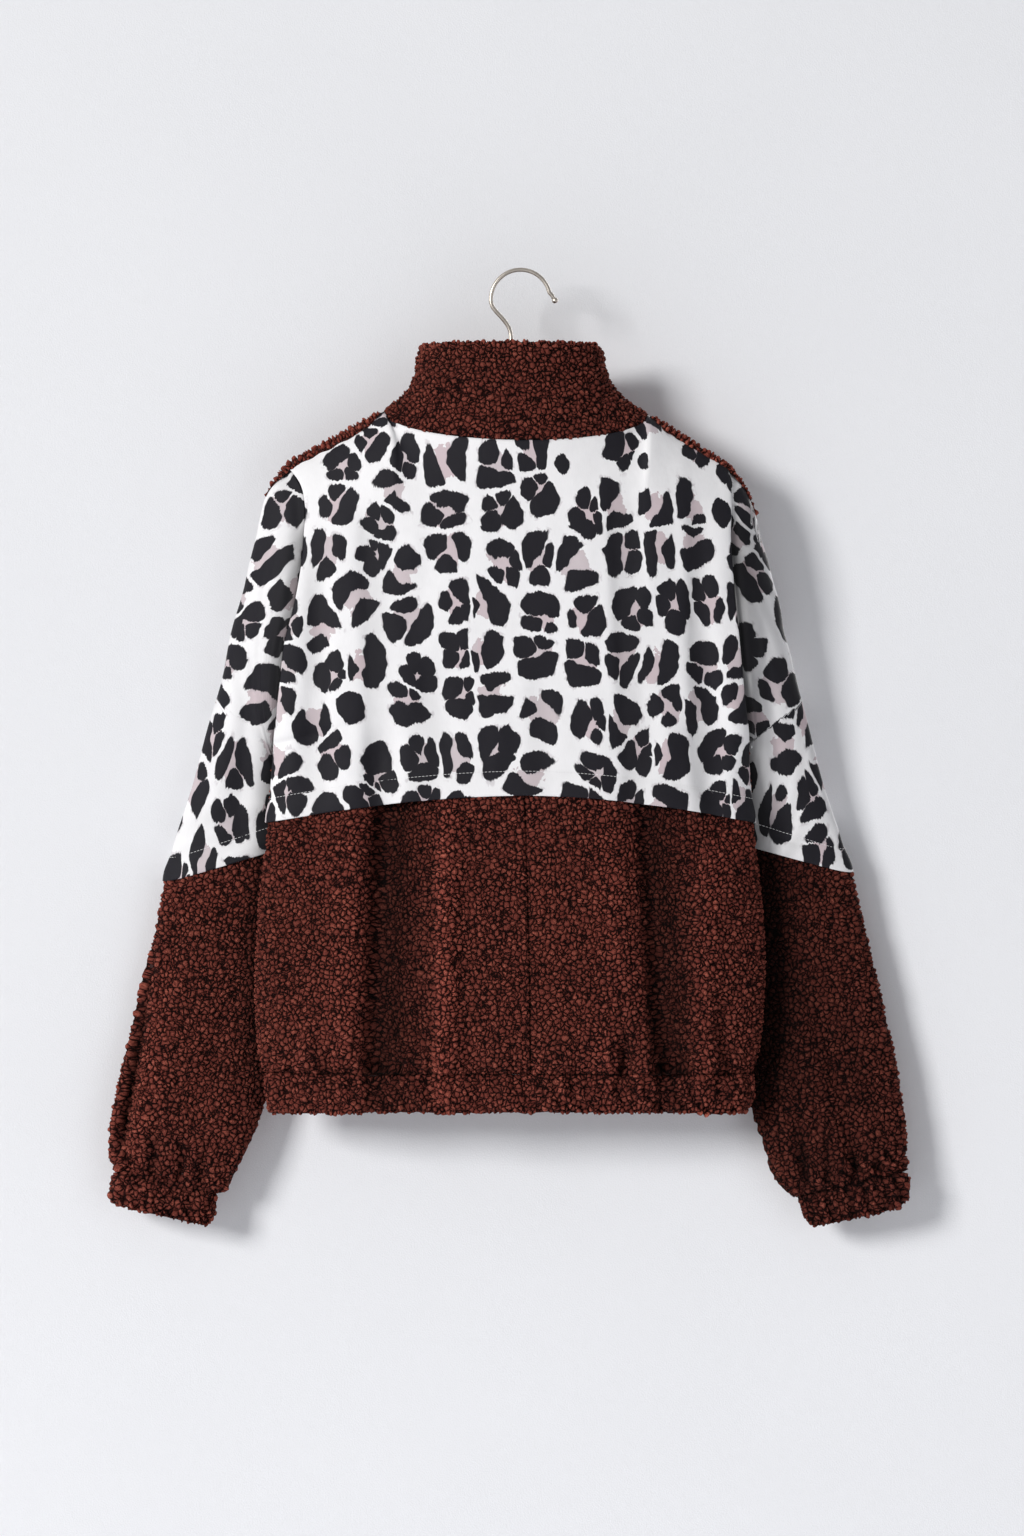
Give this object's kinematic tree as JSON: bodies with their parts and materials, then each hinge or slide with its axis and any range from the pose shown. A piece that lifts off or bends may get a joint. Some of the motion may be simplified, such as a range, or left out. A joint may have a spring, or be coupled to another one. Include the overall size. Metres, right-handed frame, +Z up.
{
  "type": "fleece zip-up jacket on a hanger",
  "caption": "Cropped fleece zip-up jacket with a stand collar, animal-print back yoke and sleeve tops, and gathered hem and cuffs, hanging on a wooden-armed wire-hook hanger.",
  "frame": {"origin": "underside of the top of the hanger's hook, where it rests on a rail", "axes": "+Z up, +X to the viewer's right, -Y from the jacket's back towards the viewer; the zip faces +Y"},
  "size_m": [0.7165, 0.1056, 0.8706],
  "materials": {
    "pile_fleece": "curly brown pile fleece",
    "printed_woven": "matt woven cloth, white with a black and mauve animal print",
    "zip_tape": "dark brown woven tape",
    "steel": "satin nickel-plated steel",
    "beech": "clear-lacquered beech"
  },
  "bodies": {
    "jacket": {"lower_back_left": "pile_fleece", "lower_back_right": "pile_fleece", "front_left": "pile_fleece", "front_right": "pile_fleece", "collar": "pile_fleece", "lower_sleeve_left": "pile_fleece", "lower_sleeve_right": "pile_fleece", "cuff_left": "pile_fleece", "cuff_right": "pile_fleece", "waistband": "pile_fleece", "back_yoke": "printed_woven", "upper_sleeve_left": "printed_woven", "upper_sleeve_right": "printed_woven", "zip_tape_left": "zip_tape", "zip_tape_right": "zip_tape", "zip_chain": "steel", "zip_box": "steel", "zip_slider": "steel", "hanger_hook": "steel", "hanger_ferrule": "steel", "hanger_arms": "beech"},
    "pull_tab": {"zip_pull_tab": "steel"}
  },
  "joints": [
    {"name": "pull_tab_hinge", "type": "hinge", "parent": "jacket", "child": "pull_tab", "pos_m": [-0.0046, 0.0408, -0.1095], "axis": [1, 0, 0], "range_deg": [0, 150]}
  ]
}
